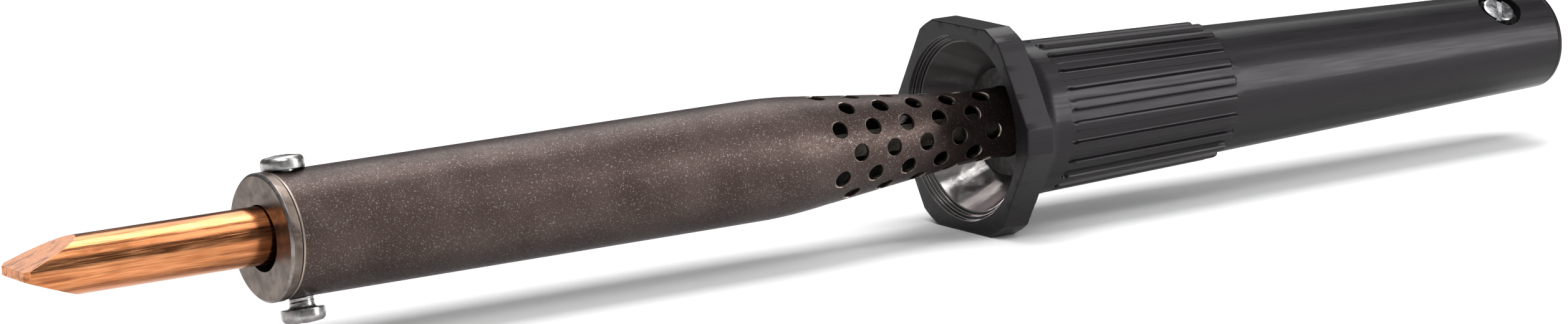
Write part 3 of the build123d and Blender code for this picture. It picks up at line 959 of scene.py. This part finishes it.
def guard_rows():
    """The guard's front face, rounded edge and flats, and the concave blend behind it."""
    edge = 0.25 * MM
    rows = [(mouth_x, plain_row(mouth_radius + mouth_edge)), (mouth_x, plain_row(face_radius))]
    for angle in quarter(3):
        inset = edge * (1 - math.sin(angle))
        rows.append((mouth_x + edge * (1 - math.cos(angle)), guard_row(guard_corner - inset, inset)))
    for share in (0.5, 1.0):
        rows.append((mouth_x + edge + share * (guard_thickness - 1.4 * edge), guard_row(guard_corner)))
    rear = mouth_x + guard_thickness
    for angle in quarter(22):
        r = guard_corner - blend * math.sin(angle)
        row = guard_row(r) if r > guard_apothem - 0.5 * MM else plain_row(r)
        rows.append((rear + blend * (1 - math.cos(angle)), row))
    return rows


def grip_rows():
    """The ribs and grooves, with close rows where a groove begins and where the ribs end."""
    before = groove_start - 1.0 * MM
    even_start = groove_start + 2.2 * MM
    even_length = grip_end - rib_end - even_start
    stations = [groove_start - 0.15 * MM, groove_start]
    stations += [groove_start + s * MM for s in groove_front]
    stations += [even_start + even_length * i / 14 for i in range(15)]
    stations += [grip_end - rib_end * s for s in rib_back]
    rows = [(before, plain_row(grip_radius(before)))]
    rows += [(x, grip_row(x)) for x in stations]
    last_angles = [angle for _, angle in rows[-1][1]]
    rows.append((grip_end, [(tail_radius(grip_end), angle) for angle in last_angles]))
    return rows


def tail_rows():
    """The smooth cone, a fine moulding line near its end, and the rounded rear edge."""
    length = rear_x - grip_end
    rows = []
    for i in range(1, 40):
        x = grip_end + length * i / 40
        rows.append((x, plain_row(tail_radius(x))))
    for x, sink in ((line_x - line_half, 0), (line_x, line_sink), (line_x + line_half, 0)):
        rows.append((x, plain_row(tail_radius(x) - sink)))
    for angle in quarter(6):
        x = rear_x - rear_round * (1 - math.sin(angle))
        rows.append((x, plain_row(rear_radius - rear_round * (1 - math.cos(angle)))))
    return rows


def inner_rows():
    """From the cord's inlet through the cavity, and out over the funnel and its stepped mouth."""
    seat = ferrule_radius - 0.95 * MM
    floor_x = gasket_high.x
    inside = [
        (rear_x, 6.0 * MM), (rear_x, inlet_radius + 0.35 * MM),
        (rear_x - 0.1 * MM, inlet_radius + 0.1 * MM), (rear_x - 0.35 * MM, inlet_radius),
        (rear_x - end_wall, inlet_radius),
        (rear_x - end_wall, cavity_rear_radius), (floor_x + 8.5 * MM, seat), (floor_x, seat),
        (floor_x, funnel_floor_radius - 0.15 * MM), (floor_x - 0.15 * MM, funnel_floor_radius),
    ]
    first = mouth_radius - step_width
    second = first - step_width
    funnel_x = mouth_x + 2 * step_depth
    for share in (0.15, 0.3, 0.45, 0.6, 0.75, 0.9):
        bow = funnel_bow * math.sin(math.pi * share)
        inside.append((floor_x + (funnel_x - floor_x) * share,
                       funnel_floor_radius + (second - funnel_floor_radius) * share + bow))
    lip = 0.12 * MM
    inside += [
        (funnel_x + lip, second - 0.05 * MM), (funnel_x, second + lip), (funnel_x, first - lip),
        (funnel_x - lip, first), (mouth_x + step_depth + lip, first), (mouth_x + step_depth, first + lip),
        (mouth_x + step_depth, mouth_radius - lip), (mouth_x + step_depth - lip, mouth_radius),
        (mouth_x + mouth_edge, mouth_radius),
    ]
    return [(x, plain_row(r)) for x, r in inside]


def counterbore():
    """Tool for the cord screw's hole and its recess, with a rounded rim at the tail's surface."""
    side = joint_axis("cord_screw_slide")
    x = middle_x("cord_screw")
    seat = reach("cord_screw", side)[1] - recess_floor
    rim = tail_radius(x) - seat
    outline = [
        (cord_screw_hole, -seat), (cord_screw_hole, 0), (recess_radius - 0.2 * MM, 0),
        (recess_radius, 0.2 * MM), (recess_radius, rim - 0.35 * MM),
        (recess_radius + 0.08 * MM, rim - 0.12 * MM), (recess_radius + 0.3 * MM, rim + 0.05 * MM),
        (recess_radius + 1.2 * MM, rim + 2 * MM),
    ]
    drill = upright("drill", outline, looks["handle_black"], 72)
    return stand(drill, Vector((x, 0, 0)) + side * seat, side)


def make_handle():
    """One moulding: guard, funnel, ribbed grip and tail, with the cord screw's recess."""
    rows = guard_rows() + grip_rows() + tail_rows() + inner_rows()
    vertices = []
    for x, row in rows:
        vertices += [(x, radius * math.cos(angle), radius * math.sin(angle)) for radius, angle in row]
    faces = ring_faces(len(rows), column_count, True)
    handle = new_piece("moulded_handle", vertices, faces, looks["handle_black"], 30)
    cut(handle, [counterbore()])
    shade(handle, 30)
    weigh_normals(handle)
    stand_for(handle, "handle")


# ---------------------------------------------------------------- stage, lights and camera


def make_stage():
    """A pale floor just under the guard's lowest flat."""
    half = 6.0
    z = CAD_BOX[0][2] - 0.05 * MM
    corners = [(-half, -half, z), (half, -half, z), (half, half, z), (-half, half, z)]
    paint = Finish("floor_paint", Base_Color=(0.90, 0.90, 0.90, 1), Roughness=0.75)
    new_piece("floor", corners, [(0, 1, 2, 3)], paint.material)


# Soft lights in metres from the middle of the iron: name, place, aim, size, watts
softboxes = (
    ("overhead", (0.05, 0.20, 1.6), (0.05, 0.05, 0), (1.9, 0.9), 30),
    ("front", (0.96, -0.95, 0.30), (0.12, 0, 0), (0.32, 1.1), 13),
    ("fill", (0.90, -0.70, 1.35), (0, 0, 0), (1.1, 0.6), 5),
    ("mouth", (-0.45, -0.6, 1.0), (0, 0, 0), (0.9, 0.5), 6),
    ("back", (0.85, 0.90, 1.20), (0, 0, 0), (0.7, 0.7), 5),
    ("facet", (0.20, 1.35, 0.80), (-0.15, 0, 0), (0.6, 0.6), 1.8),
)
room_colour = (0.95, 0.97, 1, 1)
room_strength = 0.13


def make_lights():
    """A large light overhead, smaller ones round the iron, and a dim room."""
    middle = Vector(((CAD_BOX[0][0] + CAD_BOX[1][0]) / 2, 0, 0))
    for name, place, aim, (width, height), watts in softboxes:
        data = bpy.data.lights.new(name, "AREA")
        data.shape = "RECTANGLE"
        data.size, data.size_y = width, height
        data.energy = watts
        light = bpy.data.objects.new(name, data)
        light.location = middle + Vector(place)
        light.rotation_euler = (Vector(aim) - Vector(place)).to_track_quat("-Z", "Y").to_euler()
        bpy.context.scene.collection.objects.link(light)
    world = bpy.data.worlds.new("room")
    world.use_nodes = True
    background = world.node_tree.nodes["Background"]
    background.inputs["Color"].default_value = room_colour
    background.inputs["Strength"].default_value = room_strength
    bpy.context.scene.world = world
    bpy.context.scene.view_settings.view_transform = "Standard"


# The camera as fitted to the photograph, in metres from the middle of the plug's face
camera_place = (-0.4124, -0.7747, 0.1776)
camera_aim = (0.09751, 0, -0.00102)
camera_roll = -1.924
camera_lens = 132.2


def make_camera():
    """Camera in front of the bit, looking along the iron at its handle."""
    data = bpy.data.cameras.new("camera")
    data.lens = camera_lens
    data.sensor_width = 36
    data.clip_start = 0.01
    camera = bpy.data.objects.new("camera", data)
    camera.location = Vector((plug_x, 0, 0)) + Vector(camera_place)
    look = (Vector(camera_aim) - Vector(camera_place)).to_track_quat("-Z", "Y")
    roll = Matrix.Rotation(math.radians(camera_roll), 4, "Z")
    camera.rotation_euler = (look.to_matrix().to_4x4() @ roll).to_euler()
    bpy.context.scene.collection.objects.link(camera)
    bpy.context.scene.camera = camera


make_bit()
make_plug()
make_casing()
make_screws()
make_ferrule()
make_handle()
make_stage()
make_lights()
make_camera()
